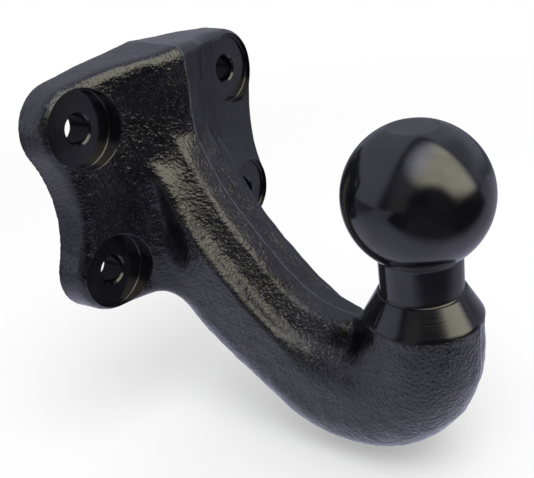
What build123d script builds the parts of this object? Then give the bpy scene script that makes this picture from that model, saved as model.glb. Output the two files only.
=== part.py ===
"""Flange tow ball: a drop-forged swan neck with a four-hole flange and a turned 50 mm ball.

Frame: millimetres, +Z up. The origin is the middle of the bolt pattern on the flange's
mounting face, which lies on y = 0. -Y points from the flange towards the ball and X is
across the vehicle. The ball's centre is level with the bolt pattern.
"""
from build123d import *
from math import acos, atan2, cos, radians, sin, sqrt
import os

# Ball and its stem, turned after forging
ball_diameter = 50.0
ball_reach = 119.6           # mounting face to ball axis
ball_flat_above_centre = 23.4
neck_diameter = 28.7
neck_length = 36.2           # ball centre down to the ledge at the neck's foot
neck_foot_fillet = 2.2
shoulder_ledge_diameter = 32.8
shoulder_cone_height = 7.6

# Bolt pattern and counterbores
bolt_spacing_x = 83.0
bolt_spacing_z = 56.0
bolt_hole_diameter = 10.5
bolt_hole_chamfer = 0.8
bolt_seat_thickness = 11.0   # metal left under each bolt head
counterbore_diameter = 29.0
counterbore_corner = 0.7

# Flange plate
lobe_radius = 17.0           # round the bolt holes
gable_rise = 4.2             # middle of the top edge above the lobes
flange_waist = 52.2          # half width at the narrowest place
flange_draft = 3.0           # degrees
flange_edge_radius = 3.5
flange_rim_thickness = 13.6  # at the outer sides
flange_root_thickness = 16.6  # where the web's flank starts
flange_root_half_width = 26.0

# Web that runs up the flange's front and along the top of the arm
web_half_width = 9.5
web_edge_thickness = 25.4
web_crown_thickness = 28.2

# Swan neck: a round bar bent under the ball, ridged and deeper towards the flange
bar_diameter = 41.6
bend_radius = 29.2           # of the bar's centre line, under the ball
bend_drop = 56.5             # ball centre down to the start of the bend
saddle_rise = 4.6            # lowest place of the arm's ridge, above the start of the bend
crotch_radius = 7.5          # between the ridge and the post under the ball
shoulder_fall = 13.5         # ridge down to the bar's full width, towards the flange
arm_root_fillet = 5.5

# Where the one forging is divided into nodes
flange_cut = 17.5            # from the mounting face

overrun = 5.0                # how far cutting tools run past the metal

post_top = neck_length + shoulder_cone_height
saddle_drop = bend_drop - saddle_rise
flange_half_height = bolt_spacing_z / 2 + lobe_radius + gable_rise


def flange_outline():
    """Plate outline: four lobes round the holes, concave sides, a shallow gable above and below."""
    hole_x, hole_z = bolt_spacing_x / 2, bolt_spacing_z / 2
    # side arc, tangent to both lobes of one side
    bulge = flange_waist - hole_x
    side_radius = (hole_z**2 + bulge**2 - lobe_radius**2) / (2 * (lobe_radius - bulge))
    side_angle = atan2(hole_z, flange_waist + side_radius - hole_x)
    # gable line, tangent to the lobe from the crown on the middle plane
    rise = flange_half_height - hole_z
    gable_angle = atan2(rise, -hole_x) - acos(lobe_radius / sqrt(hole_x**2 + rise**2))

    def on_lobe(angle):
        return (hole_x + lobe_radius * cos(angle), hole_z + lobe_radius * sin(angle))

    crown = (0, flange_half_height)
    gable_touch = on_lobe(gable_angle)
    lobe_middle = on_lobe((gable_angle - side_angle) / 2)
    side_touch = on_lobe(-side_angle)

    def flip(point, across, up):
        return (point[0] * across, point[1] * up)

    edges = []
    for across in (1, -1):
        waist = (flange_waist * across, 0)
        edges.append(ThreePointArc(flip(side_touch, across, 1), waist, flip(side_touch, across, -1)))
        for up in (1, -1):
            touch = flip(gable_touch, across, up)
            edges.append(Line(flip(crown, across, up), touch))
            edges.append(ThreePointArc(touch, flip(lobe_middle, across, up), flip(side_touch, across, up)))
    return make_face(Wire(edges))


def flange_blank():
    """Outline drawn out of the mounting face, cut to the sloped front of plate and web."""
    plate = extrude(Plane.XZ * flange_outline(), amount=web_crown_thickness + overrun, taper=flange_draft)
    far = bolt_spacing_x / 2 + lobe_radius + overrun
    half_front = [
        (web_half_width, -web_edge_thickness),
        (flange_root_half_width, -flange_root_thickness),
        (far, -flange_rim_thickness),
        (far, 0),
    ]
    front = [(0, -web_crown_thickness), *half_front, *[(-x, y) for x, y in reversed(half_front)]]
    plan = make_face(Polyline(*front, close=True))
    roots = [v for v in plan.vertices() if abs(abs(v.X) - flange_root_half_width) < 0.1]
    plan = fillet(roots, flange_root_half_width)
    height = 2 * (flange_half_height + overrun)
    blank = plate & Pos(0, 0, -height / 2) * extrude(plan, amount=height)
    rim = [e for e in blank.edges() if e.center().Y < -1 and abs((e % 0.5).Z) < 0.9]
    return fillet(rim, flange_edge_radius)


# Sections round the bend: degrees round the crotch, degrees round the bend, squareness
bend_stations = [
    (15, 0, 0.0),
    (32, 14, 0.05),
    (50, 30, 0.12),
    (68, 48, 0.25),
    (84, 66, 0.4),
    (104, 88, 0.6),
]

# Guide lines of the arm in the mid-plane, from the bend to the flange. Ridge: part of the
# ball's reach, part of the saddle's drop. Belly: part of the reach, part of the belly's drop.
arm_guides = [
    ((0.686, 0.971), (0.669, 0.991)),
    ((0.627, 0.921), (0.560, 0.945)),
    ((0.560, 0.817), (0.458, 0.868)),
    ((0.481, 0.634), (0.350, 0.781)),
    ((0.401, 0.428), (0.237, 0.700)),
    ((0.334, 0.231), (0.159, 0.626)),
    ((0.280, 0.019), (0.109, 0.546)),
    ((0.232, -0.212), (0.075, 0.485)),
]


def stations():
    """Ridge point, belly point (y, z), squareness and flare of every section, post to flange."""
    radius = bar_diameter / 2
    inner_wall = radius - ball_reach
    bend_y = bend_radius - ball_reach
    result = [((inner_wall, -post_top), (-radius - ball_reach, -post_top), 0, 0)]

    def on_bend(degrees_round):
        turn = radians(degrees_round)
        reach = bend_radius + radius
        return (bend_y - reach * cos(turn), -bend_drop - reach * sin(turn))

    def on_crotch(degrees_round):
        turn = radians(degrees_round)
        return (inner_wall + crotch_radius * (1 - cos(turn)),
                -saddle_drop + crotch_radius * (1 - sin(turn)))

    for crotch, bend, squareness in bend_stations:
        result.append((on_crotch(crotch), on_bend(bend), squareness, 0))
    belly_drop = bend_drop + bend_radius + radius
    for number, (ridge, belly) in enumerate(arm_guides):
        from_flange = len(arm_guides) - number
        result.append((
            (-ridge[0] * ball_reach, -ridge[1] * saddle_drop),
            (-belly[0] * ball_reach, -belly[1] * belly_drop),
            min(1, 0.75 + 0.1 * number),
            arm_root_fillet * max(0, 1 - from_flange / 3)**2,
        ))
    buried_ridge = (overrun - web_crown_thickness, 0.35 * flange_half_height)
    buried_belly = (-overrun, -0.97 * flange_half_height)
    result.append((buried_ridge, buried_belly, 1, arm_root_fillet))
    return result


def bar_section(ridge, belly, squareness, flare):
    """Closed section through the bar: round below, ridge band and shoulders above."""
    radius = bar_diameter / 2
    depth = sqrt((ridge[0] - belly[0])**2 + (ridge[1] - belly[1])**2)
    up = ((ridge[0] - belly[0]) / depth, (ridge[1] - belly[1]) / depth)
    plane = Plane(origin=(0, belly[0] + radius * up[0], belly[1] + radius * up[1]),
                  x_dir=(1, 0, 0), z_dir=(0, -up[1], up[0]))
    top = depth - radius
    shoulder = top - shoulder_fall
    band = [
        (0, top),
        (0.53 * web_half_width, top - 0.02 * shoulder_fall),
        (0.95 * web_half_width, top - 0.07 * shoulder_fall),
        (1.18 * web_half_width, top - 0.24 * shoulder_fall),
        (0.70 * radius, top - 0.49 * shoulder_fall),
        (0.88 * radius, top - 0.71 * shoulder_fall),
        (0.985 * radius, shoulder),
        (radius, shoulder / 2),
    ]
    points = []
    for number, (x, y) in enumerate(band):
        angle = radians(90 * (1 - number / len(band)))
        points.append((x * squareness + radius * cos(angle) * (1 - squareness),
                       y * squareness + top * sin(angle) * (1 - squareness)))
    for angle in range(0, -91, -18):
        points.append((radius * cos(radians(angle)), radius * sin(radians(angle))))
    flared = [(x * (1 + flare * max(0, x - web_half_width) / (radius * (radius - web_half_width))), y)
              for x, y in points]
    loop = flared + [(-x, y) for x, y in reversed(flared[1:-1])]
    return plane * make_face(Spline(*loop, periodic=True))


def bend_blank():
    """Round bar bent under the ball, filled at the crotch."""
    return loft([bar_section(*station) for station in stations()[:len(bend_stations) + 1]])


def arm_blank():
    """Ridged arm from the end of the bend to inside the flange."""
    return loft([bar_section(*station) for station in stations()[len(bend_stations):]])


def bolt_cutter():
    """What one bolt takes away, forwards from the mounting face: hole, chamfered mouth, counterbore."""
    hole = bolt_hole_diameter / 2
    mouth = hole + bolt_hole_chamfer
    bore = counterbore_diameter / 2
    seat = bolt_seat_thickness
    top = web_crown_thickness + overrun
    profile = Polyline(
        (0, -overrun), (hole, -overrun), (hole, seat - bolt_hole_chamfer), (mouth, seat),
        (bore - counterbore_corner, seat), (bore, seat + counterbore_corner), (bore, top), (0, top),
        close=True,
    )
    return revolve(Plane.XZ * make_face(profile), Axis.Z)


def flange_and_arm():
    """Flange and arm in one, with the bolt holes and counterbores taken out."""
    bolt_places = Plane.XZ * GridLocations(bolt_spacing_x, bolt_spacing_z, 2, 2)
    return flange_blank() + arm_blank() - [place * bolt_cutter() for place in bolt_places]


def turned(*edges):
    """Round part about the ball's axis from half profile edges (radius, height above its centre)."""
    return Pos(0, -ball_reach, 0) * revolve(Plane.XZ * make_face(Wire(edges)), Axis.Z)


def ball_foot():
    """Height of the circle where the ball meets its neck."""
    return -sqrt((ball_diameter / 2)**2 - (neck_diameter / 2)**2)


def ball_neck():
    neck = neck_diameter / 2
    corner = (neck + neck_foot_fillet, -neck_length)
    ledge = (shoulder_ledge_diameter / 2, -neck_length)
    edge = (bar_diameter / 2, -post_top)
    slope = neck_foot_fillet * (1 - sqrt(0.5))
    return turned(
        Line((0, ball_foot()), (neck, ball_foot())),
        Line((neck, ball_foot()), (neck, corner[1] + neck_foot_fillet)),
        ThreePointArc((neck, corner[1] + neck_foot_fillet), (neck + slope, corner[1] + slope), corner),
        Line(corner, ledge),
        Line(ledge, edge),
        Line(edge, (0, -post_top)),
        Line((0, -post_top), (0, ball_foot())),
    )


def tow_ball():
    radius = ball_diameter / 2
    flat = sqrt(radius**2 - ball_flat_above_centre**2)
    return turned(
        Line((0, ball_foot()), (neck_diameter / 2, ball_foot())),
        ThreePointArc((neck_diameter / 2, ball_foot()), (radius, 0), (flat, ball_flat_above_centre)),
        Line((flat, ball_flat_above_centre), (0, ball_flat_above_centre)),
        Line((0, ball_flat_above_centre), (0, ball_foot())),
    )


def main():
    os.makedirs("parts", exist_ok=True)
    whole = flange_and_arm()
    division = Plane(origin=(0, -flange_cut, 0), x_dir=(1, 0, 0), z_dir=(0, -1, 0))
    nodes = {
        "mounting_flange": split(whole, division, Keep.BOTTOM),
        "swan_neck_arm": split(whole, division, Keep.TOP),
        "elbow_knuckle": bend_blank(),
        "ball_neck": ball_neck(),
        "tow_ball": tow_ball(),
    }
    for name, shape in nodes.items():
        export_step(shape, f"parts/{name}.step")
        print(name, len(shape.solids()), "solid", round(shape.volume), "mm3")


main()
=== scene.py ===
# %% [markdown]
# # A forged flange tow ball
# The real thing is one piece of steel, hammered between two dies while it glows. Flange, arm
# and bend keep the skin that the dies left: soft corners, a pebbled surface, and a fine step
# down the middle where the two dies met. Then a lathe turns the ball, its neck and a cone
# below it, a drill opens four counterbored holes, and everything is painted gloss black.
#
# This lesson rebuilds it in that order. Lengths in the sums are millimetres, and turn into
# Blender's metres only when a mesh is made. Z points up, the mounting face lies on y = 0 and
# the ball stands towards -y.

# %% Tools and the packed model
import bpy
import numpy as np
from mathutils import Matrix, Vector


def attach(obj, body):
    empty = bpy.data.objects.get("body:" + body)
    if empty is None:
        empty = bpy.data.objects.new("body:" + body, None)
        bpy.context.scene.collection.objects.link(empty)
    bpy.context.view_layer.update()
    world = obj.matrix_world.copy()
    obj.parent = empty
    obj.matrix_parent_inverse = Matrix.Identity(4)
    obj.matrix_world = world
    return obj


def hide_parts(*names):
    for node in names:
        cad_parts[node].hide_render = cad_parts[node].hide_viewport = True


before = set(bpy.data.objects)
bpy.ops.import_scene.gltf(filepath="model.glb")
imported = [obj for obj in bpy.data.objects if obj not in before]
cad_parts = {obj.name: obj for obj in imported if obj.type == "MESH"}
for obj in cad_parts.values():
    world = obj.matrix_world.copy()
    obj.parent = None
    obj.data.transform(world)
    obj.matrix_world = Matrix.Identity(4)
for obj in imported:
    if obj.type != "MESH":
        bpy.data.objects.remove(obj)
bpy.context.view_layer.update()
print("nodes:", sorted(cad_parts))

# %% [markdown]
# ## Sizes
# The same sizes as in the drawing of the part. The bolt pattern is 83 by 56 mm, the ball is
# 50 mm, and the bar under it is 41.6 mm thick. Heights and depths count from the ball's
# centre, which is level with the middle of the bolt pattern.

# %% Sizes in millimetres
# Ball: radius, distance of its axis from the mounting face, height of its flat top.
BALL_RADIUS, BALL_REACH, BALL_FLAT = 25.0, 119.6, 23.4
# Stem: radius of the neck, depth of its foot, radius of the cone at that depth.
NECK_RADIUS, NECK_FOOT, CONE_TOP = 14.35, 36.2, 16.4
# Bar under the stem: radius, and the depth at which the cone reaches it.
BAR_RADIUS, CONE_FOOT = 20.8, 43.8
# Holes: place across and in height, radius, metal under a bolt's head, counterbore's radius.
HOLE_X, HOLE_Z, HOLE_RADIUS, SEAT, BORE_RADIUS = 41.5, 28.0, 5.25, 11.0, 14.5
# Flange: radius of a lobe, height of the gable, half width at the waist.
LOBE, GABLE_TOP, WAIST = 17.0, 49.2, 52.2
# Bend: radius of its centre line, depth of its centre; depth and radius of the crotch above.
BEND_RADIUS, BEND_DROP, SADDLE, CROTCH = 29.2, 56.5, 51.9, 7.5
print("thickness of the bar:", 2 * BAR_RADIUS, "mm; bolt pattern:", 2 * HOLE_X, "by", 2 * HOLE_Z)


# %% [markdown]
# ## Blending shapes the way a forging does
# Hot steel doesn't fill sharp corners, so every inner and outer corner of the forging is
# round. A handy way to get that everywhere at once is a *distance field*: a function that is
# negative inside the metal, positive outside and zero on the skin. The larger of two fields
# is what both shapes share, the smaller is both shapes together, and a soft version of either
# rounds the corner between them.

# %% Soft maximum, soft minimum and a smooth step
def soft_max(a, b, k):
    """max(a, b), plus k/4 * (1 - |a - b| / k)^2 where they are closer than k: a round corner."""
    return np.maximum(a, b) + 0.25 * k * np.maximum(1 - np.abs(a - b) / k, 0) ** 2


def soft_min(a, b, k):
    """The same rounding for an inner corner: -soft_max(-a, -b)."""
    return -soft_max(-a, -b, k)


def step(x, start, end):
    """0 before start, 1 after end, and 3t^2 - 2t^3 between them."""
    t = np.clip((x - start) / (end - start), 0, 1)
    return t * t * (3 - 2 * t)


def hill(x, middle, width):
    """A bump of height 1: exp(-((x - middle) / width)^2)."""
    return np.exp(-(((x - middle) / width) ** 2))


print("a sharp corner lies", float(soft_max(0.0, 0.0, 4.0)), "mm off its rounding with k = 4")


# %% [markdown]
# ## The flange
# Seen along y, the flange has a round lobe at each bolt hole, hollow sides and a shallow gable
# at top and bottom. Its four quarters are alike, so one quarter is enough: which of its three
# parts counts is told by the angle around the bolt hole. Only the lower gable stops a little
# short of the upper one's mirror image, and both swell a hair half way down their slopes. An
# extruded outline with bevelled edges would do for a machined plate, but a bevel has one
# radius, and a forging's corners grow and shrink.

# %% Outline of the flange
GABLE_SWELL, LOWER_SHORT = 0.35, 0.8
gable_slope = np.arctan2(GABLE_TOP - HOLE_Z, -HOLE_X) - np.arccos(
    LOBE / np.hypot(HOLE_X, GABLE_TOP - HOLE_Z))
side_radius = (HOLE_Z**2 + (WAIST - HOLE_X) ** 2 - LOBE**2) / (2 * (LOBE - WAIST + HOLE_X))
side_angle = np.arctan2(HOLE_Z, WAIST + side_radius - HOLE_X)


def outline(x, z):
    """Distance outside the outline: a circle about the hole, a hollow arc beside it, a gable."""
    x, z = np.abs(x), np.where(z < 0, LOWER_SHORT * step(-z, 30, 42) - z, z)
    around = np.arctan2(z - HOLE_Z, x - HOLE_X)
    lobe = np.hypot(x - HOLE_X, z - HOLE_Z) - LOBE
    gable = (x * np.cos(gable_slope) + (z - GABLE_TOP) * np.sin(gable_slope)
             - GABLE_SWELL * hill(x, 27, 9))
    side = side_radius - np.hypot(x - WAIST - side_radius, z)
    return np.where(around > gable_slope, gable, np.where(around < -side_angle, side, lobe))


print(f"gable {90 - np.degrees(gable_slope):.1f} deg, side arc {side_radius:.1f} mm")


# %% [markdown]
# Towards the ball the plate gets thicker from its rim to its middle, where a web stands up from
# it and runs into the arm. The depth of the front is therefore a relief over x and z, made of
# three slopes: the tilted plate, the steep flanks of the web, and the web's low crown. Gentle
# hills in z make them swell as the real ones do. The side walls lean in by three degrees, the
# draft that lets a forging out of its die.

# %% Relief of the flange's front, and the flange as a field
PLATE_DEPTH, PLATE_TILT, PLATE_RIM = 13.9, 0.093, 56
FLANK_DEPTH, FLANK_SLOPE, WEB_HALF = 25.3, 0.56, 9.5
CROWN_DEPTH, CROWN_SLOPE = 28.4, 0.28
WEB_EDGE, WEB_FOOT, PLATE_EDGE = 0.9, 6.0, 4.6
DRAFT = 0.052
FRONT_SCALE = 0.94


def relief(x, z):
    """Depth of the front: the plate or the web, whichever is deeper; the web is the lower slope."""
    far = np.abs(x)
    plate = (PLATE_DEPTH + PLATE_TILT * (PLATE_RIM - far) + 0.5 * hill(z, 4, 22)
             - 0.5 * step(np.abs(z), 34, 46))
    flank = (FLANK_DEPTH - FLANK_SLOPE * (far - WEB_HALF) + 1.2 * step(z, 30, 48)
             - 0.9 * hill(z, 25, 9))
    crown = CROWN_DEPTH - CROWN_SLOPE * far - 1.0 * hill(z, 20, 10)
    return soft_max(plate, soft_min(flank, crown, WEB_EDGE), WEB_FOOT)


def flange(x, y, z):
    """Inside the drafted outline and behind the relief, scaled for the mean tilt of its slopes."""
    walls = outline(x, z) - DRAFT * y
    front = FRONT_SCALE * (-y - relief(x, z))
    return soft_max(walls, front, PLATE_EDGE)


print(f"depth at a bolt hole {float(relief(HOLE_X, HOLE_Z)):.1f} mm, at the web {float(relief(0, 0)):.1f}")


# %% [markdown]
# ## The swan neck
# A bar of 41.6 mm comes down under the ball, bends round and climbs to the flange. On the way
# its section changes. Under the ball it is round. Nearer the flange it is deeper, with a flat
# band on top and, on each side of the band, a steep strip, a flatter ledge and a rolled
# shoulder. A single section swept along a curve couldn't change like that. So two lines in the
# middle plane guide it, the ridge on top and the belly below, and at each station a section
# hangs between them.

# %% Guide lines of the neck
# Degrees round the crotch, degrees round the bend, and how square the section is there.
BEND_STATIONS = ((8, -7, 0), (20, 2, 0), (36, 14, 0.03), (52, 30, 0.1), (69, 48, 0.25),
                 (84, 66, 0.4), (97, 85, 0.6))
# From the bend into the flange: y and z of the ridge, y and z of the belly, squareness.
ARM_STATIONS = [
    (-82.0, -50.4, -80.0, -105.3, 0.75),
    (-75.0, -47.8, -67.0, -100.5, 0.85),
    (-67.0, -42.4, -54.8, -92.3, 0.95),
    (-57.5, -32.9, -41.7, -83.5, 1),
    (-48.0, -22.2, -28.9, -73.6, 1),
    (-40.0, -12.0, -20.0, -64.4, 1),
    (-33.5, -1.0, -13.6, -56.0, 1),
    (-28.6, 9.0, -9.0, -49.5, 1),
    (-22.0, 17.0, -1.0, -45.5, 1),
    (-10.0, 26.0, 12.0, -38.0, 1),
    (8.0, 34.0, 30.0, -30.0, 1),
]
SECTIONS_BETWEEN = 40


def guide(points, places):
    """Catmull-Rom curve: a cubic between each two points, with slopes from their neighbours."""
    p = np.asarray(points, float)
    p = np.vstack([2 * p[0] - p[1], p, 2 * p[-1] - p[-2]])
    i = np.minimum(places.astype(int), len(points) - 2)
    t = (places - i)[:, None]
    a, b, c, d = p[i], p[i + 1], p[i + 2], p[i + 3]
    return b + 0.5 * t * (c - a + t * (2 * a - 5 * b + 4 * c - d + t * (3 * (b - c) + d - a)))


def stations():
    """Ridge y, z, belly y, z and squareness: straight down the bar, two arcs, then the arm."""
    inner = BAR_RADIUS - BALL_REACH
    outer = inner - 2 * BAR_RADIUS
    rows = [(inner, -30.0, outer, -30.0, 0), (inner, -39.0, outer, -41.0, 0)]
    reach = BEND_RADIUS + BAR_RADIUS
    for crotch, bend, square in BEND_STATIONS:
        c, b = np.radians(crotch), np.radians(bend)
        low = -BEND_DROP - reach * np.sin(b) if bend > 0 else -BEND_DROP - reach * b
        rows.append((inner + CROTCH * (1 - np.cos(c)), -SADDLE + CROTCH * (1 - np.sin(c)),
                     BEND_RADIUS - BALL_REACH - reach * np.cos(max(b, 0)), low, square))
    return np.array(rows + ARM_STATIONS)


rows = stations()
lines = guide(rows, np.linspace(0, len(rows) - 1, SECTIONS_BETWEEN * (len(rows) - 1) + 1))
print(len(rows), "stations,", len(lines), "sections, lowest belly", lines[:, 3].min().round(2), "mm")


# %% [markdown]
# To ask how far a point is from the neck, first find the section it lies in. That depends on
# y and z only, so it is worked out once on a flat chart of the middle plane. Each pair of
# neighbouring sections claims the points between them and notes the height above the bar's
# centre, the height of the ridge, and how square the section is.

# %% Chart of the middle plane
CHART_STEP = 0.5
ABOVE_RIDGE, UNDER_BELLY = 6, 9
FAR_OFF, ANY_RIDGE = 90.0, 30.0
chart_y = np.arange(-150.0, 14.0, CHART_STEP)
chart_z = np.arange(-116.0, 62.0, CHART_STEP)


def chart():
    """For every y, z: height above the bar's centre, ridge height, squareness.

    A point is between two sections where its distances from their lines have opposite signs,
    and it takes from each in the ratio of those distances. Points that no pair claims are put
    far above the bar or far below it, whichever of ridge and belly is nearer."""
    y, z = np.meshgrid(chart_y, chart_z, indexing="ij")
    ridge, belly, square = lines[:, :2], lines[:, 2:4], lines[:, 4]
    depth = np.linalg.norm(ridge - belly, axis=1)
    up = (ridge - belly) / depth[:, None]
    found = np.full(y.shape + (3,), np.nan)
    before = None
    for i in range(len(lines)):
        dy, dz = y - belly[i, 0], z - belly[i, 1]
        ahead = dy * up[i, 1] - dz * up[i, 0]
        height = dy * up[i, 0] + dz * up[i, 1] - BAR_RADIUS
        if before is not None:
            old_ahead, old_height = before
            near = (height > -BAR_RADIUS - UNDER_BELLY) & (height < depth[i] - BAR_RADIUS + ABOVE_RIDGE)
            between = (old_ahead * ahead <= 0) & near & np.isnan(found[..., 0])
            t = (old_ahead / np.where(old_ahead == ahead, 1, old_ahead - ahead))[between]
            found[between, 0] = old_height[between] * (1 - t) + height[between] * t
            found[between, 1] = depth[i - 1] * (1 - t) + depth[i] * t - BAR_RADIUS
            found[between, 2] = square[i - 1] * (1 - t) + square[i] * t
        before = ahead, height
    lost = np.isnan(found[..., 0])
    here = np.stack([y[lost], z[lost]], axis=1)[:, None]
    to_ridge, to_belly = (np.linalg.norm(here - line[::20], axis=2).min(1) for line in (ridge, belly))
    found[lost, 0] = np.where(to_ridge < to_belly, FAR_OFF, -FAR_OFF)
    found[lost, 1:] = ANY_RIDGE, 0
    return found


neck_chart = chart()
claimed = (abs(neck_chart[..., 0]) < FAR_OFF).mean()
print("chart:", neck_chart.shape[:2], f"{100 * claimed:.0f}% claimed by a section")


# %% [markdown]
# Reading the chart at any point is a weighted mean of its four nearest entries. The section
# itself is the soft overlap of simple shapes: a round bottom that goes up as straight sides,
# the strip with its ledge, and a crowned band. Towards the bend the shoulders roll wider, and
# near the flange the corner between strip and ledge fills up. Under the ball the section fades
# into a plain oval.

# %% The neck as a field
# How far under the ridge the strip and the ledge start, their slopes, and the cosines of the
# slopes' angles, which make each field count millimetres off its own surface.
STEEP_DROP, STEEP_SLOPE, STEEP_COSINE = 0.9, 1.35, 0.595
LEDGE_DROP, LEDGE_SLOPE, LEDGE_COSINE = 8.4, 0.28, 0.963
STRIP_WIDTH, BAND_CROWN, BAND_EDGE = 5.6, 0.45, 1.3


def read_chart(y, z):
    """Bilinear reading of the chart: the four entries round y, z, weighted by nearness."""
    i, j = np.broadcast_arrays((y - chart_y[0]) / CHART_STEP, (z - chart_z[0]) / CHART_STEP)
    i, j = np.clip(i, 0, len(chart_y) - 1.001), np.clip(j, 0, len(chart_z) - 1.001)
    a, b = i.astype(int), j.astype(int)
    s, t = (i - a)[..., None], (j - b)[..., None]
    mean = (neck_chart[a, b] * (1 - s) + neck_chart[a + 1, b] * s) * (1 - t)
    mean += (neck_chart[a, b + 1] * (1 - s) + neck_chart[a + 1, b + 1] * s) * t
    return mean[..., 0], mean[..., 1], mean[..., 2]


def ridged(z, height, top, square, far):
    """Section of the arm: inside the sides, and under the band and the strip with its ledge.

    The band is 9 mm wide at the bend and 18 mm at the flange. The corner between strip and
    ledge and the roll of the shoulders change along the arm."""
    sides = np.hypot(far, np.minimum(height, 0)) - BAR_RADIUS
    half_band = 4.5 + 4.5 * step(square, 0.3, 0.9)
    beyond = far - half_band
    steep = STEEP_COSINE * (height - top + STEEP_DROP + STEEP_SLOPE * beyond)
    ledge = LEDGE_COSINE * (height - top + LEDGE_DROP + LEDGE_SLOPE * (beyond - STRIP_WIDTH))
    strips = soft_min(steep, ledge, 1.6 + 5.0 * step(z, -24, -4))
    band = height - top + BAND_CROWN * np.minimum(far / half_band, 1.6) ** 2
    roll = 3.0 + 9.0 * (1 - step(square, 0.7, 0.94))
    return soft_max(soft_max(sides, strips, roll), band, BAND_EDGE)


def oval(height, top, far):
    """Round below; above, (r^2 - 1) / |its gradient| for the ellipse that rises to the ridge."""
    above = np.maximum(height, 0)
    rim = np.hypot(far / BAR_RADIUS, above / top)
    slope = np.hypot(far / BAR_RADIUS**2, above / top**2)
    under = np.hypot(far, np.minimum(height, 0)) - BAR_RADIUS
    return np.where(height > 0, (rim * rim - 1) / np.maximum(2 * slope, 0.02), under)


def neck(x, y, z):
    """The oval where squareness is 0, the ridged section from 0.5 up, a mean of both between."""
    height, top, square = read_chart(y, z)
    far = np.abs(x)
    share = step(square, 0, 0.5)
    return oval(height, top, far) * (1 - share) + ridged(z, height, top, square, far) * share


print(f"field at the widest place of the arm: {float(neck(20.8, -60.0, -58.0)):.2f} mm; 0 is the skin")


# %% [markdown]
# The skin of the forging is the flange and the neck together, with a generous hollow corner
# between them, cut flat at the mounting face. What the machines take away is a second field:
# the space of the four drilled holes with their counterbores, and what the lathe swept off
# above the cone under the ball. The forging is cut a little wider and deeper than the finished
# surfaces, because crisp turned pieces line the cuts afterwards.

# %% Skin of the forging, and the space the machines cleared
# How much wider and deeper the cuts are than the finished bores, holes and stem. The lathe
# cuts inside a radius of 24.5 mm about the ball's axis, and for the cap only beyond y = -97.
BORE_WIDER, BORE_DEEPER, HOLE_WIDER = 0.2, 0.8, 0.05
CONE_ROOM, CAP_ROOM = 0.04, 1.5
SWING, CAP_SIDE = 24.5, -97.0


def skin(x, y, z):
    """Flange and neck in one, behind the mounting face.

    The corner between them is rounded over 3 mm at the web and over 10 mm low beside the arm."""
    corner = 3.0 + 7.0 * step(np.abs(x), 8, 17) * (1 - step(z, -30, -8))
    return soft_max(soft_min(flange(x, y, z), neck(x, y, z), corner), y, 0.5)


def drilled(x, y, z):
    """Positive in the counterbores and the holes, by the distance from the nearest hole's axis."""
    r = np.hypot(np.abs(x) - HOLE_X, np.abs(z) - HOLE_Z)
    wide = np.minimum(BORE_RADIUS + BORE_WIDER - r, BORE_DEEPER - SEAT - y)
    return np.maximum(wide, HOLE_RADIUS + HOLE_WIDER - r)


def cone(x, y, z):
    """Height over the turned cone: its line runs from the neck's foot down to the bar."""
    run, fall = BAR_RADIUS - CONE_TOP, CONE_FOOT - NECK_FOOT
    r = np.hypot(x, y + BALL_REACH)
    return ((r - CONE_TOP) * fall + (z + NECK_FOOT) * run) / np.hypot(run, fall)


def machined(x, y, z):
    """Positive where metal is gone: the holes, what lay over the cone, the room for the stem."""
    over_cone = np.minimum(cone(x, y, z) + CONE_ROOM, SWING - np.hypot(x, y + BALL_REACH))
    over_cap = np.minimum(z + NECK_FOOT + CAP_ROOM, CAP_SIDE - y)
    return np.maximum(drilled(x, y, z), np.maximum(over_cone, over_cap))


def whole(x, y, z):
    """Steel of the forging after the machines: inside the skin and outside the cleared space."""
    return np.maximum(skin(x, y, z), machined(x, y, z))


cone_slope = (BAR_RADIUS - CONE_TOP) / (CONE_FOOT - NECK_FOOT)
print("metal under a bolt's head:", SEAT, "mm; slope of the cone:", round(cone_slope, 3))


# %% [markdown]
# ## From a field to a mesh
# The field is sampled on a grid of small cubes. Every cube that the skin passes through gets
# one corner point, at the mean of the places where the skin crosses the cube's edges, and each
# crossed grid edge gets a face between its four cubes. This is the surface net, and whole
# arrays do it at once. The points are then slid onto the true skin, and the ones near an edge
# that a tool left are slid onto both surfaces, so that bores and cone have crisp rims. A
# remesh modifier makes such a net too, but it can't know where a tool's rim should run.

# %% Surface net
def surface_net(values):
    """Points in grid units and faces: mean crossing per cube, one quad per crossed grid edge."""
    inside = values < 0
    cubes = sum(inside[i:i - 1 or None, j:j - 1 or None, k:k - 1 or None].astype(np.int8)
                for i, j, k in np.ndindex(2, 2, 2))
    mixed = (cubes > 0) & (cubes < 8)
    number = np.full(mixed.shape, -1)
    number[mixed] = np.arange(mixed.sum())
    cell = np.argwhere(mixed)
    total, crossings, quads = np.zeros(cell.shape), np.zeros(len(cell)), []
    unit = np.eye(3, dtype=int)
    for a in range(3):
        b, c = unit[(a + 1) % 3], unit[(a + 2) % 3]
        for offset in (0 * b, b, c, b + c):
            start = cell + offset
            low, high = values[tuple(start.T)], values[tuple((start + unit[a]).T)]
            crossed = (low < 0) != (high < 0)
            along = np.where(crossed, low / np.where(crossed, low - high, 1), 0)
            total += crossed[:, None] * (start + along[:, None] * unit[a])
            crossings += crossed
        ends = [slice(1, -1)] * 3
        ends[a] = slice(0, -1)
        low_inside = inside[tuple(ends)]
        ends[a] = slice(1, None)
        edge = np.argwhere(low_inside != inside[tuple(ends)]) + b + c
        ring = np.stack([number[tuple((edge - s).T)] for s in (0 * b, b, b + c, c)], axis=1)
        outward = inside[tuple(edge.T)]
        quads.append(np.where(outward[:, None], ring, ring[:, ::-1]))
    return total / crossings[:, None], np.concatenate(quads)


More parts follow.
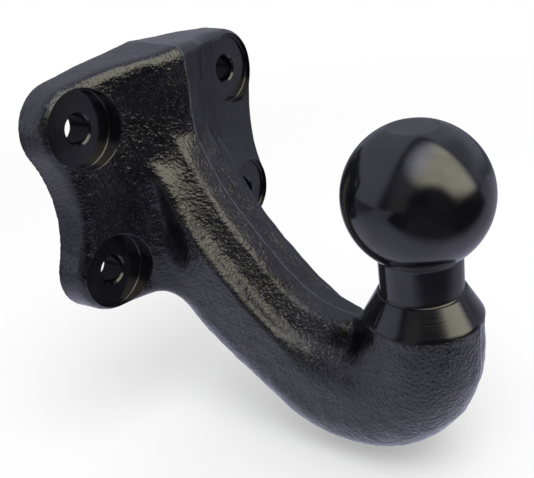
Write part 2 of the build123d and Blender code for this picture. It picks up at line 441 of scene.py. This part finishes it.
def towards(points, field, gap=0.02):
    """One Newton step onto field = 0: back along the gradient by field / |gradient|^2.

    The gradient is measured over a small gap, and 0.05 keeps a flat place from throwing a
    point away."""
    here = field(*points.T)
    slope = np.stack([(field(*(points + s).T) - here) / gap for s in gap * np.eye(3)], axis=1)
    return points - (here / np.maximum((slope * slope).sum(1), 0.05))[:, None] * slope


def even_grid(pitch):
    """Grid lines round the forging, with cubes that lie evenly on both sides of x = 0."""
    x = np.arange(0.5 * pitch, 60, pitch)
    return np.concatenate([-x[::-1], x]), np.arange(-142.5, 1.5, pitch), np.arange(-108.5, 51.0, pitch)


PITCH = 0.81
grid = even_grid(PITCH)
print("grid of", " x ".join(str(len(line)) for line in grid), "places,", PITCH, "mm apart")


# %% [markdown]
# The skin of a forging is never smooth. Scale and worn dies leave shallow swellings a few
# millimetres wide with finer pebbles between them. The two dies never meet quite evenly
# either, so the left half of the arm stands a third of a millimetre over the right one, along
# a fine step that wanders a little about the middle plane. A bump in the paint would leave the
# outline smooth, so both are real relief here, from value noise: random numbers on a lattice,
# blended by smooth weights.

# %% Relief that the dies left
HASH_X, HASH_Y, HASH_Z, HASH_SEED = 374761393, 668265263, 1274126177, 97


def noise(points, size, seed):
    """Value noise from -1 to 1: a hash at each lattice corner, blended with 3t^2 - 2t^3."""
    p = points / size + 1000
    cell = np.floor(p).astype(np.int64)
    t = p - cell
    t = t * t * (3 - 2 * t)
    total = 0
    for i, j, k in np.ndindex(2, 2, 2):
        n = (cell[:, 0] + i) * HASH_X + (cell[:, 1] + j) * HASH_Y
        n = n + (cell[:, 2] + k) * HASH_Z + seed * HASH_SEED
        n = ((n ^ (n >> 13)) * 1103515245) & 0xFFFFFFFF
        n = ((n ^ (n >> 16)) * 69069) & 0xFFFFFF
        weight = np.abs(1 - i - t[:, 0]) * np.abs(1 - j - t[:, 1]) * np.abs(1 - k - t[:, 2])
        total = total + weight * (n / 0x7FFFFF - 1)
    return total


def forged_relief(points):
    """How far the skin stands out in mm: three grains of noise, and half a step on each side.

    The flange is calmer than the arm, and the mounting face is smooth. Where the forging
    reaches furthest out, the skin keeps a little back, to stay in the drawing's box."""
    x, y, z = points.T
    swell = 0.14 * noise(points, 8.0, 1) + 0.13 * noise(points, 3.4, 2) + 0.09 * noise(points, 1.9, 3)
    calm = 0.5 + 0.5 * step(-y, 22, 34)
    wander = 0.3 * noise(points, 11.0, 4)
    across = 0.5 - step(x + wander, -0.55, 0.55)
    seam = (0.36 + 0.14 * noise(points, 5.0, 5)) * across * hill(x, 0, 8)
    on_neck = step(-y, 20, 26)
    outermost = np.maximum(step(np.abs(x), 50, 57), 2.2 * step(-z, 96, 103))
    off_face = 1 - step(y, -1.5, -0.2)
    return (calm * swell - 0.04 - 0.2 * outermost + seam * on_neck) * off_face


rng = np.random.default_rng(4)
sample = noise(rng.uniform(0, 40, (4000, 3)), 3.0, 1)
print("noise: mean", sample.mean().round(3), "spread", sample.std().round(3))


# %% [markdown]
# ## Putting numbers into a mesh
# `foreach_set` hands whole arrays to Blender. A revolved part needs only its half outline:
# the outline is turned about an axis, and the two ends that touch the axis are closed by one
# point each, so that no hole is left at a pole.

# %% Mesh makers
METRES, SHARP_OVER = 0.001, np.radians(35)


def make_piece(name, points, quads, triangles=()):
    """A mesh object from points in mm and its faces: smooth, but sharp over 35 degrees.

    The volume it prints is the sum of (a x b) . c / 6 over the triangles."""
    triangles = np.asarray(triangles, int).reshape(-1, 3)
    corners = np.concatenate([quads.ravel(), triangles.ravel()])
    starts = np.concatenate([np.arange(len(quads)) * 4, len(quads) * 4 + np.arange(len(triangles)) * 3])
    mesh = bpy.data.meshes.new(name)
    mesh.vertices.add(len(points))
    mesh.vertices.foreach_set("co", (points * METRES).ravel())
    mesh.loops.add(len(corners))
    mesh.loops.foreach_set("vertex_index", corners)
    mesh.polygons.add(len(starts))
    mesh.polygons.foreach_set("loop_start", starts)
    mesh.update(calc_edges=True)
    mesh.validate()
    mesh.shade_smooth()
    mesh.set_sharp_from_angle(angle=SHARP_OVER)
    piece = bpy.data.objects.new(name, mesh)
    bpy.context.collection.objects.link(piece)
    halves = np.concatenate([quads[:, :3], quads[:, [0, 2, 3]], triangles])
    a, b, c = points[halves].transpose(1, 0, 2)
    volume = (np.cross(a, b) * c).sum() / 6
    print(f"{name}: {len(points)} points, {len(halves)} triangles, {volume:.0f} mm3")
    return piece


def turn(radius, height, around):
    """A half outline turned about the ball's axis: r cos t, r sin t, height; ends are poles.

    The radius may change with the angle, as a second axis of its array."""
    angle = np.arange(around) * 2 * np.pi / around
    radius, height = (np.broadcast_to(np.asarray(a, float).reshape(len(height), -1), (len(height), around))
                      for a in (radius, height))
    rings = np.stack([radius * np.cos(angle), radius * np.sin(angle) - BALL_REACH, height], axis=2)
    inner = rings[1:-1].reshape(-1, 3)
    ends = np.stack([rings[0].mean(0), rings[-1].mean(0)])
    index = np.arange(len(inner)).reshape(-1, around)
    ahead = np.roll(index, -1, axis=1)
    quads = np.stack([index[:-1], ahead[:-1], ahead[1:], index[1:]], axis=2).reshape(-1, 4)
    low = np.stack([ahead[0], index[0], np.full(around, len(inner))], axis=1)
    high = np.stack([index[-1], ahead[-1], np.full(around, len(inner) + 1)], axis=1)
    return np.concatenate([inner, ends]), quads, np.concatenate([low, high])


print("a can of 8 sides has", len(turn([0, 1, 1, 0], [0, 0, 1, 1], 8)[1]), "quads in its wall")


# %% [markdown]
# ## The forging
# One net covers flange, arm and bend, because they are one piece of steel. The two sides are
# mirror images, so the field is worked out on one and flipped. Cubes that hold a bit of the
# skin and a bit of a tool's surface lie on a rim. Their points are slid onto both in turn
# until they sit on the line where the two meet. Last, the skin is raised by its relief along
# its normal, and the rims are slid back onto the tool's surface.

# %% Forging
SLIDES, RIM_SLIDES, ON_SKIN = 3, 8, 0.02


def touched(field, points):
    """Whether a field changes its sign among the eight corners of each point's cube."""
    i, j, k = (np.searchsorted(line, p, side="right") - 1 for line, p in zip(grid, points.T))
    corners = [field(grid[0][i + a], grid[1][j + b], grid[2][k + c]) for a, b, c in np.ndindex(2, 2, 2)]
    return (np.min(corners, axis=0) < 0) & (np.max(corners, axis=0) > 0)


right_half = grid[0][len(grid[0]) // 2:, None, None]
values = whole(right_half, grid[1][None, :, None], grid[2][None, None, :])
points, quads = surface_net(np.concatenate([values[::-1], values]))
points = np.stack([np.interp(p, np.arange(len(line)), line) for p, line in zip(points.T, grid)], axis=1)
rims = touched(skin, points) & touched(machined, points)
for _ in range(SLIDES):
    points = towards(points, whole)
for _ in range(RIM_SLIDES):
    points[rims] = towards(towards(points[rims], skin), machined)
on_skin = np.abs(skin(*points.T)) < ON_SKIN
raised = towards(points[on_skin], lambda x, y, z: skin(x, y, z) - 0.5)
normal = raised - points[on_skin]
normal /= np.linalg.norm(normal, axis=1)[:, None]
points[on_skin] += forged_relief(points[on_skin])[:, None] * normal
points[rims] = towards(points[rims], machined)
forging = make_piece("forging", points, quads)
print("points on a rim:", int(rims.sum()))


# %% [markdown]
# ## The turned stem and the ball
# The lathe cut a cone through the pebbled skin of the forging, so the line where they meet
# wanders. It is found by halving: along each line of the cone, the place is bracketed between
# steel and air and the bracket is halved until it is thinner than a hair.

# %% Where the cone leaves the forging
AROUND = 256
CONE_FALL = (CONE_FOOT - NECK_FOOT) / (BAR_RADIUS - CONE_TOP)


def leaves_steel(place, count, inside, outside):
    """Where each of count lines leaves the forged skin, by halving between inside and outside.

    place gives the points for an array of distances along the lines."""
    inside, outside = np.full(count, inside), np.full(count, outside)
    for _ in range(24):
        middle = (inside + outside) / 2
        p = place(middle)
        steel = skin(*p.T) < forged_relief(p)
        inside, outside = np.where(steel, middle, inside), np.where(steel, outside, middle)
    return inside


def on_cone(r):
    """Points of the cone at a radius for each angle: z falls in proportion to the radius."""
    angle = np.arange(AROUND) * 2 * np.pi / AROUND
    z = -NECK_FOOT - (r - CONE_TOP) * CONE_FALL
    return np.stack([r * np.cos(angle), r * np.sin(angle) - BALL_REACH, z], axis=1)


cone_rim = leaves_steel(on_cone, AROUND, 17.0, 23.6)
print(f"the cone meets the forging between r {cone_rim.min():.2f} and {cone_rim.max():.2f} mm")


# %% [markdown]
# The stem is a thin turned shell over the forging's own cone. The cone runs up to a small
# hollow radius at the foot of the neck, and another one leads from the neck to the ball. All
# of it is one half outline that is turned, as on the lathe, but its lowest ring may wander in
# radius, because it follows the line where the cone leaves the forged skin.

# %% Stem as a half outline
# The two hollow radii, how far in the cone runs, and how much wider and deeper than the top of
# the cone the shell's hidden cap is.
FOOT_HOLLOW, BALL_HOLLOW, CONE_INNER = 0.9, 1.0, 1.1
CAP_WIDER, CAP_DEEPER = 0.83, 1.48


def arc(r, z, radius, start, end, count):
    """Points r + radius cos t and z + radius sin t in the half plane, t from start to end."""
    t = np.radians(np.linspace(start, end, count))
    return np.stack([r + radius * np.cos(t), z + radius * np.sin(t)])


hollow_r = NECK_RADIUS + BALL_HOLLOW
hollow_z = -np.sqrt((BALL_RADIUS + BALL_HOLLOW) ** 2 - hollow_r**2)
hollow_turn = np.degrees(np.arctan2(-hollow_z, hollow_r))
foot = CONE_INNER * CONE_FALL - NECK_FOOT
shank = np.hstack([
    arc(NECK_RADIUS + FOOT_HOLLOW, foot + FOOT_HOLLOW, FOOT_HOLLOW, 270, 180, 8),
    np.stack([np.full(9, NECK_RADIUS), np.linspace(foot + 2 * FOOT_HOLLOW, hollow_z - 1, 9)]),
    arc(hollow_r, hollow_z, BALL_HOLLOW, 180, 180 - hollow_turn, 7)])
share = np.linspace(0, 1, 9)[:, None]
cone_r = cone_rim * (1 - share) + (CONE_TOP - CONE_INNER) * share
cone_z = -NECK_FOOT - (cone_r - CONE_TOP) * CONE_FALL
level = np.ones(AROUND)
cap_z = -(NECK_FOOT + CAP_DEEPER) * level
stem_r = np.vstack([0 * level, (CONE_TOP + CAP_WIDER) * level, cone_r[:1], cone_r,
                    shank[0][:, None] * level, 0 * level])
stem_z = np.vstack([cap_z, cap_z, cone_z[:1] - CONE_ROOM, cone_z,
                    shank[1][:, None] * level, shank[1][-1] * level])
turned_stem = make_piece("turned_stem", *turn(stem_r, stem_z, AROUND))
print(f"neck {2 * NECK_RADIUS} mm thick, from {foot:.1f} up to {shank[1][-1]:.1f} mm")


# %% [markdown]
# The ball is a sphere with a flat milled on top, its rim eased by a file. A sphere from the
# menu has no flat and no eased rim, so the ball is turned from its own half outline. Its
# radius is a hair short, to stay in the box of the drawing.

# %% Ball as a half outline
BALL_EASE, BALL_SHARE = 0.42, 0.9999
flat = np.sqrt(BALL_RADIUS**2 - BALL_FLAT**2)
low = -90 + np.degrees(np.arcsin(shank[0][-1] / BALL_RADIUS))
high = 90 - np.degrees(np.arcsin(flat / BALL_RADIUS))
ball = np.hstack([
    [[0], [BALL_RADIUS * np.sin(np.radians(low))]],
    arc(0, 0, BALL_RADIUS, low, high - 0.6, 96),
    arc(flat - 0.32, BALL_FLAT - BALL_EASE, BALL_EASE, high + 4, 86, 5),
    [[flat - 0.4, 4, 0], [BALL_FLAT] * 3]])
turned_ball = make_piece("turned_ball", *turn(BALL_SHARE * ball[0], ball[1], 224))
print(f"flat on top {2 * flat:.1f} mm across")


# %% [markdown]
# ## The seats of the bolts
# Each hole gets a thin turned lining, as crisp as the tool left it: an eased rim that follows
# the wavy forged skin, a wall, a flat floor with a small corner radius, a chamfered mouth and
# the hole. A boolean cut would leave ragged triangles along such a wavy rim. The half outline
# is a closed loop here, so the shell needs no poles.

# %% Four drilled seats
# How far the lip reaches out past the bore and how far its edge is eased, the corner radius of
# the floor, the chamfer of the hole's mouth, and the lining's thickness inside the hole.
SEAT_AROUND = 160
LIP, LIP_EASE = 0.22, 0.14
FLOOR_CORNER, MOUTH, LINING = 0.5, 0.8, 0.03


def lining(x0, z0):
    """Points and faces of one lining: the loop of radius and depth at every angle, closed."""
    angle = np.arange(SEAT_AROUND) * 2 * np.pi / SEAT_AROUND
    across, up = np.cos(angle), np.sin(angle)

    def skin_depth(r):
        """Depth y at which lines along y, on a circle about the hole, leave the forged skin."""
        return leaves_steel(lambda y: np.stack([x0 + r * across, y, z0 + r * up], axis=1),
                            SEAT_AROUND, -10.4, -36.0)

    lip = BORE_RADIUS + LIP
    lip_y, edge_y = skin_depth(lip), skin_depth(BORE_RADIUS) + LIP_EASE
    corner = arc(BORE_RADIUS - FLOOR_CORNER, -SEAT - FLOOR_CORNER, FLOOR_CORNER, 0, 90, 6)
    floor_r = np.linspace(BORE_RADIUS - 0.6, HOLE_RADIUS + MOUTH, 7)
    hole_y = np.linspace(MOUTH - SEAT, 0, 8)
    back = 0.7 - SEAT
    fixed = np.hstack([corner, [floor_r, 0 * floor_r - SEAT], [0 * hole_y + HOLE_RADIUS, hole_y],
                       [[HOLE_RADIUS + LINING, HOLE_RADIUS + LINING, lip], [0, back, back]]])
    wall = np.linspace(0, 1, 4)[:-1, None]
    ones = np.ones(SEAT_AROUND)
    r = np.vstack([lip * ones, BORE_RADIUS + 0 * wall * ones, fixed[0][:, None] * ones])
    y = np.vstack([lip_y, edge_y * (1 - wall) + (-SEAT - FLOOR_CORNER) * wall,
                   fixed[1][:, None] * ones])
    index = np.arange(r.size).reshape(r.shape)
    after, ahead = np.roll(index, -1, axis=0), np.roll(index, -1, axis=1)
    quads = np.stack([index, ahead, np.roll(after, -1, axis=1), after], axis=2).reshape(-1, 4)
    return np.stack([x0 + r * across, y, z0 + r * up], axis=2).reshape(-1, 3), quads


linings = [lining(a * HOLE_X, b * HOLE_Z) for a in (-1, 1) for b in (-1, 1)]
count = len(linings[0][0])
seats = make_piece("drilled_seats", np.concatenate([p for p, _ in linings]),
                   np.concatenate([q + i * count for i, (_, q) in enumerate(linings)]))
for rim, _ in linings:
    rise = -SEAT - rim[:SEAT_AROUND, 1]
    print(f"seat: rim {rise.min():.1f} to {rise.max():.1f} mm over its floor")


# %% [markdown]
# ## Shader sums in plain Python
# A node tree is a formula. With a small class round a socket, the formula can be written as
# one: `1 - 0.4 * pebble` adds the Math nodes by itself, and `node` adds any other kind.

# %% Sockets that can be added and multiplied
class Wire:
    """One output socket. Sums between wires and numbers become Math nodes."""

    def __init__(self, tree, socket=None):
        self.tree, self.socket = tree, socket

    def node(self, kind, inputs=None, out=0, **settings):
        """Adds a node: first its settings, then values or links of its sockets; one output."""
        made = self.tree.nodes.new(kind)
        for name, value in settings.items():
            setattr(made, name, value)
        for name, value in (inputs or {}).items():
            if isinstance(value, Wire):
                self.tree.links.new(value.socket, made.inputs[name])
            else:
                made.inputs[name].default_value = value
        return Wire(self.tree, made.outputs[out] if made.outputs else None)

    def math(self, operation, *values):
        """One Math node, such as math("SINE", wire)."""
        return self.node("ShaderNodeMath", dict(enumerate(values)), operation=operation)

    def rise(self, start, end):
        """0 below start, 1 above end, smooth between."""
        return self.node("ShaderNodeMapRange", {"Value": self, "From Min": start, "From Max": end},
                         interpolation_type="SMOOTHSTEP")

    def __add__(self, other):
        return self.math("ADD", self, other)

    def __sub__(self, other):
        return self.math("SUBTRACT", self, other)

    def __rsub__(self, other):
        return self.math("SUBTRACT", other, self)

    def __mul__(self, other):
        return self.math("MULTIPLY", self, other)

    def __truediv__(self, other):
        return self.math("DIVIDE", self, other)

    def __rtruediv__(self, other):
        return self.math("DIVIDE", other, self)

    def __pow__(self, other):
        return self.math("POWER", self, other)

    def __neg__(self):
        return self * -1

    def __abs__(self):
        return self.math("ABSOLUTE", self)

    __radd__, __rmul__ = __add__, __mul__


def begin(owner):
    """Empties the node tree of a material or world, and gives a wire to build from."""
    owner.use_nodes = True
    owner.node_tree.nodes.clear()
    return Wire(owner.node_tree)


def blend(factor, dark, light):
    """Colour between two: dark * (1 - factor) + light * factor; either may be a wire."""
    return factor.node("ShaderNodeMix", {0: factor, 6: dark, 7: light}, out=2, data_type="RGBA")


def mixed(factor, first, second):
    """Shader between two: the first where factor is 0, the second where it is 1."""
    return factor.node("ShaderNodeMixShader", {0: factor, 1: first, 2: second}, out="Shader")


def along(place, axis):
    """Part of a place or direction along a fixed axis: their dot product."""
    return place.node("ShaderNodeVectorMath", {0: place, 1: axis}, out="Value", operation="DOT_PRODUCT")


def ray_is(place, kind):
    """1 where a ray of light is of that kind, such as "Is Camera Ray"."""
    return place.node("ShaderNodeLightPath", out=kind)


print("with a number on the left a wire knows", [name for name in vars(Wire) if name.startswith("__r")])


# %% [markdown]
# ## Black paint on three kinds of steel
# The paint is the same everywhere, glossy black with a clear top layer, a little uneven in
# colour and gloss. What differs is the steel below: forged, turned or drilled. So one function
# makes the paint, and each material hands it its own relief. The relief is worked out from the
# place on the piece, so it needs no picture and no unwrapping.

# %% Parts of every paint
DEEP_BLACK, SOFT_BLACK = (0.003, 0.003, 0.0045, 1), (0.007, 0.0068, 0.009, 1)
# Grey for a painted highlight, and dull black for painted shade.
HIGHLIGHT_GREY, SHADE_BLACK = (0.075, 0.08, 0.095, 1), (0.003, 0.003, 0.004, 1)


def new_paint(name):
    """An empty material, and the place on its piece, in metres, to build it from."""
    material = bpy.data.materials.new(name)
    return material, begin(material).node("ShaderNodeTexCoord", out="Object")


def part_of(place, axis):
    """One coordinate of a place in mm: that part of the vector, times 1000."""
    return place.node("ShaderNodeSeparateXYZ", {"Vector": place}, out=axis) * 1000


def noise_of(place, size):
    """Noise of about the given grain in mm, which is 1000 / size grains to the metre."""
    return place.node("ShaderNodeTexNoise", {"Vector": place, "Scale": 1000 / size, "Detail": 2.0},
                      out="Fac")


def rings_of(distance, per_mm):
    """Marks of a tool: noise along a single distance, so many grains to the millimetre."""
    return distance.node("ShaderNodeTexNoise", {"W": distance * per_mm, "Scale": 1.0, "Detail": 1.0},
                         out="Fac", noise_dimensions="1D")


def painted(place, height, shine, highlight=None):
    """Glossy black paint over a relief in mm, with a painted highlight in grey; clouds vary colour and
    gloss.
    """
    cloud = noise_of(place, 9.0)
    colour = blend(cloud.rise(0.3, 0.7), DEEP_BLACK, SOFT_BLACK)
    if highlight is not None:
        colour = blend(highlight, colour, HIGHLIGHT_GREY)
    bump = place.node("ShaderNodeBump", {"Height": height, "Distance": METRES, "Strength": 1.0},
                      out="Normal")
    return place.node("ShaderNodeBsdfPrincipled", {
        "Base Color": colour, "Roughness": shine + 0.05 * cloud + 0.04 * noise_of(place, 0.7),
        "IOR": 1.5, "Coat Weight": 0.15 + 0.15 * cloud, "Coat Roughness": 0.08, "Normal": bump},
        out="BSDF")


def with_painted_shade(paint, factor):
    """Painted shade: the paint turns dull and dark black where factor is 1."""
    return mixed(factor, paint, paint.node("ShaderNodeBsdfDiffuse", {"Color": SHADE_BLACK}, out="BSDF"))


def finish(material, paint):
    """Joins the paint to the material's output, and counts its nodes."""
    paint.node("ShaderNodeOutputMaterial", {"Surface": paint})
    print(f"{material.name}: {len(material.node_tree.nodes)} nodes")


# %% [markdown]
# On the forging the paint hangs over scale in wrinkles a millimetre or two wide. They lie flat
# on the flange and on the band along the top of the arm, stand higher on the arm's sides and
# under the cone, and the mounting face is smooth. Along the dies' step a lighter grey line is
# a painted highlight. Two hollows, beside the arm's shoulder and at the foot of the stem, get
# painted shade: the paint there is dull and dark.

# %% Paint over the forged skin
forged_black, place = new_paint("paint_over_scale")
x, y, z = (part_of(place, axis) for axis in "XYZ")
wrinkle = abs(noise_of(place, 2.1) - 0.5)
pebble, grit = noise_of(place, 1.2), noise_of(place, 0.45)
arm_side = (-y).rise(22, 34) * abs(x).rise(4, 10)
under_cone = z.rise(-85, -55) * (-y).rise(100, 118)
depth = 0.45 + 0.35 * arm_side + 0.3 * under_cone
scale = depth * (1.3 * wrinkle + 0.5 * pebble + 0.1 * grit)

across = x + 1.6 * (noise_of(place, 7.0) - 0.5)
left_half = 1 - across.rise(-0.1, 0.35)
off_face = (-y).rise(0.1, 1.5)
# Painted highlight: a lighter grey line along the dies' step on the arm.
seam_highlight = (1 - abs(across).rise(0.1, 0.7)) * (-y).rise(20, 28) * noise_of(place, 3.0).rise(0.2, 0.6)
paint = painted(place, off_face * (scale + 0.3 * left_half), 0.07, seam_highlight)


def hollow(centre, reach):
    """Painted shade, 1 at a place on both sides of the part, fading to 0 beyond the reach along x, y, z.
    """
    apart = ((abs(x) - centre[0]) / reach[0]) ** 2 + ((y - centre[1]) / reach[1]) ** 2
    return 1 - (apart + ((z - centre[2]) / reach[2]) ** 2).rise(0.0, 2.2)


# Painted shade: the saddle under the stem and a hollow beside the arm's shoulder turn dull and dark.
off_groove = abs(z + 56.5 - 11 * (-y).rise(96, 111)).rise(1, 6.5)
saddle_shade = (1 - off_groove) * (-y).rise(80, 92) * (1 - (-y).rise(106, 115)) * abs(x).rise(4, 9)
shade_amount = saddle_shade + hollow((21, -27, -24), (7, 5, 10))
finish(forged_black, with_painted_shade(paint, 0.8 * (shade_amount + 0.5 * (pebble - 0.5)).rise(0.1, 0.95)))


# %% [markdown]
# Turned steel shows the fine rings of the tool through its paint. They follow the height on
# the stem and almost vanish on the polished ball, and in the counterbores they follow the
# distance from the hole. Down in the holes the paint turns dull and dark: painted shade.

# %% Paint over the turned and the drilled steel
turned_black, place = new_paint("paint_over_turning")
z = part_of(place, "Z")
on_stem = 1 - z.rise(-21.5, -20)
marks = (0.0015 + 0.016 * on_stem) * rings_of(z, 1.5)
finish(turned_black, painted(place, marks + 0.002 * noise_of(place, 2.5), 0.1))

drilled_black, place = new_paint("paint_over_drilling")
x, z = abs(part_of(place, "X")) - HOLE_X, abs(part_of(place, "Z")) - HOLE_Z
from_hole = (x * x + z * z) ** 0.5
paint = painted(place, 0.007 * rings_of(from_hole, 1.6) + 0.004 * noise_of(place, 1.5), 0.12)
# Painted shade down in the holes: there the paint mixes into a dull black.
hole_shade = 1 - from_hole.rise(HOLE_RADIUS + 0.05, HOLE_RADIUS + 0.2)
finish(drilled_black, with_painted_shade(paint, 0.8 * hole_shade))

forging.data.materials.append(forged_black)
seats.data.materials.append(drilled_black)
for piece in (turned_stem, turned_ball):
    piece.data.materials.append(turned_black)


# %% [markdown]
# ## The studio
# Gloss black paint shows little but what it mirrors, so the room matters more than the lamps.
# Written on a mirror ball, a whole room is a picture in two numbers u and v: the sideways and
# upward parts of the ball's normal that throws a direction back along the line of sight. That
# makes it easy to place a reflection on the ball where it should be. The axes are fixed
# numbers, and the room stays where it is when the camera moves.

# %% Axes of the room, and where a direction lies on the mirror ball
SIDE, UP = (0.58367, -0.80090, -0.13374), (0.41616, 0.15362, 0.89622)
BACK = (-0.69724, -0.57875, 0.42297)
WHITE = (1, 1, 1, 1)

world = bpy.data.worlds.new("studio")
way = begin(world).node("ShaderNodeTexCoord", out="Generated")
normal_length = (2.0 * (1.0001 + along(way, BACK))) ** 0.5
u, v = along(way, SIDE) / normal_length, along(way, UP) / normal_length


def spot(u0, v0, width, height, soft):
    """1 inside the oval ((u - u0) / width)^2 + ((v - v0) / height)^2 = 1, with a soft rim."""
    return 1 - (((u - u0) / width) ** 2 + ((v - v0) / height) ** 2).rise(1 - soft, 1 + soft)


skew = max(abs(np.dot(a, b)) for a, b in ((SIDE, UP), (UP, BACK), (BACK, SIDE)))
print(f"the room's axes are square to each other within {np.degrees(np.arcsin(skew)):.3f} degrees")


# %% [markdown]
# A tent of white cloth stands round the part, open towards the camera. In gloss black paint
# the tent shows as an even dark grey, and the opening as a warm patch of bright clouds with
# two dark ovals in it. Between cloth and opening runs a dark ring. So a few ovals drawn in u
# and v make the room. Only gloss sees it: everything else gets plain white light, and the
# background is white.

# %% Opening, cloth and colours of the room
COOL_CLOTH, WARM_SKY = (0.94, 0.93, 1.16, 1), (1.0, 0.97, 0.76, 1)

rim = ((u + 0.15 * v - 0.14) / (0.6 - 0.6 * v)) ** 2 + ((v - 0.12) / 0.56) ** 4
opening, cloth = 1 - rim.rise(0.6, 1.15), rim.rise(0.95, 1.35)
low_dark = spot(0.08, -0.3, 0.33, 0.4, 0.35)
right_dark = spot(0.82, -0.25, 0.37, 0.36, 0.3)
glow = spot(0.32, 0.3, 0.48, 0.32, 0.6)
clouds = way.node("ShaderNodeTexNoise", {"Vector": way, "Scale": 2.6, "Detail": 1.5}, out="Fac")
bright = opening * (1 - low_dark) * (1 - right_dark) * (0.22 + glow * (2.1 + 2.2 * clouds))

outer_dim = 1 - 0.6 * (u * u + v * v).rise(0.45, 0.9)
right_dim = 1 - 0.85 * u.rise(0.5, 0.9) * (1 - v.rise(0.25, 0.5))
top_dim = 1 - 0.4 * spot(0.42, 0.4, 0.2, 0.24, 0.6)
tent = 0.7 * cloth * outer_dim * right_dim * top_dim
tint = blend(opening * (u - 0.8 * v).rise(-0.5, -0.1), COOL_CLOTH, WARM_SKY)


def background(colour, strength):
    """Light of one colour and strength from every direction; either may be a wire."""
    return way.node("ShaderNodeBackground", {"Color": colour, "Strength": strength}, out="Background")


room = mixed(ray_is(way, "Is Glossy Ray"), background(WHITE, 0.8), background(tint, tent + bright + 0.02))
room = mixed(ray_is(way, "Is Camera Ray"), room, background(WHITE, 1.0))
way.node("ShaderNodeOutputWorld", {"Surface": room})
world.cycles.sampling_method = "NONE"
bpy.context.scene.world = world
print("studio:", len(world.node_tree.nodes), "nodes")


# %% [markdown]
# The floor is pale and matt near the part, where it takes the soft shadow, and glows into the
# white of the background further out, so that no horizon shows. Gloss sees it as cool cloth
# that is dimmer to the left, to the right and behind the part, and nearly dark in front of
# the opening.

# %% Floor
FLOOR_Z, FLOOR_HALF = -0.1068, 4
FORTH, WIDE = (-0.5, -0.866, 0), (0.866, -0.5, 0)
PALE, COOL_FLOOR = (0.93, 0.93, 0.93, 1), (0.94, 0.92, 1.18, 1)

corners = [(a * FLOOR_HALF, b * FLOOR_HALF, 0) for a, b in ((-1, -1), (1, -1), (1, 1), (-1, 1))]
floor_mesh = bpy.data.meshes.new("floor")
floor_mesh.from_pydata(corners, [], [(0, 1, 2, 3)])
floor = bpy.data.objects.new("floor", floor_mesh)
floor.location = (0, 0, FLOOR_Z)
bpy.context.collection.objects.link(floor)

white_floor, place = new_paint("white_floor")
from_part = place.node("ShaderNodeVectorMath", {0: place}, out="Value", operation="LENGTH")
matt = place.node("ShaderNodeBsdfDiffuse", {"Color": PALE}, out="BSDF")
lit = place.node("ShaderNodeEmission", {"Color": WHITE, "Strength": 1.0}, out="Emission")
forth, wide = along(place, FORTH), along(place, WIDE)
left, right, behind = (-wide).rise(0.15, 0.35), wide.rise(0.08, 0.22), (-forth).rise(-0.02, 0.2)
outside = forth.rise(0.17, 0.25) * (1 - (abs(wide) - 2 * forth).rise(-0.1, 0.1))
strength = 0.68 * (1 - 0.95 * outside) * (1 - 0.22 * left) * (1 - 0.45 * right) * (1 - 0.66 * behind)
mirrored = place.node("ShaderNodeEmission", {"Color": COOL_FLOOR, "Strength": strength}, out="Emission")
seen = mixed(0.3 + 0.7 * from_part.rise(0.15, 0.7), matt, lit)
finish(white_floor, mixed(ray_is(place, "Is Glossy Ray"), seen, mirrored))
floor_mesh.materials.append(white_floor)


# %% [markdown]
# The room lights everything evenly. One broad soft lamp overhead adds the shadow on the floor
# and a little form to the skin. Gloss doesn't see it, or the ball would show a second window.

# %% Lamp
lamp = bpy.data.lights.new("soft_lamp", "AREA")
lamp.shape, lamp.size, lamp.energy = "DISK", 0.8, 6.0
lamp_object = bpy.data.objects.new("soft_lamp", lamp)
lamp_object.location = (-0.25, -0.45, 1.0)
aim = Vector((0, -0.06, 0)) - Vector(lamp_object.location)
lamp_object.rotation_euler = aim.to_track_quat("-Z", "Y").to_euler()
lamp_object.visible_glossy = False
bpy.context.collection.objects.link(lamp_object)
print(f"one soft lamp, {aim.length:.2f} m from the part")


# %% [markdown]
# ## The camera
# The camera was found by fitting the round edges of the ball, of its flat top and of the bolt
# holes. It stands 0.25 m from the ball, looks down by 25 degrees, and its lens is 51 mm.

# %% Camera
camera = bpy.data.cameras.new("camera")
camera.lens, camera.sensor_width, camera.clip_start = 51.14, 36.0, 0.01
camera_object = bpy.data.objects.new("camera", camera)
axes = Matrix((SIDE, UP, BACK)).transposed().to_4x4()
axes.translation = (-0.20497, -0.22482, 0.09753)
camera_object.matrix_world = axes
bpy.context.collection.objects.link(camera_object)
bpy.context.scene.camera = camera_object
bpy.context.scene.view_settings.view_transform = "Standard"
to_ball = (axes.translation - Vector((0, -BALL_REACH * METRES, 0))).length
print(f"camera {to_ball:.2f} m from the ball, looks down {np.degrees(np.arcsin(BACK[2])):.1f} degrees")


# %% [markdown]
# ## What stands for what
# The forging stands for three solids of the drawing: flange, arm and bend. The seats stand for
# the flange's holes, and stem and ball for their own solids. The part is rigid, so everything
# rides on its one body.

# %% Pieces in place of the drawing's solids
STANDS_FOR = (
    (forging, "forged_black", ("mounting_flange", "swan_neck_arm", "elbow_knuckle")),
    (seats, "turned_black", ("mounting_flange",)),
    (turned_stem, "turned_black", ("ball_neck",)),
    (turned_ball, "turned_black", ("tow_ball",)),
)
for piece, slot, nodes in STANDS_FOR:
    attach(piece, "root")
    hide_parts(*nodes)

bpy.context.view_layer.update()
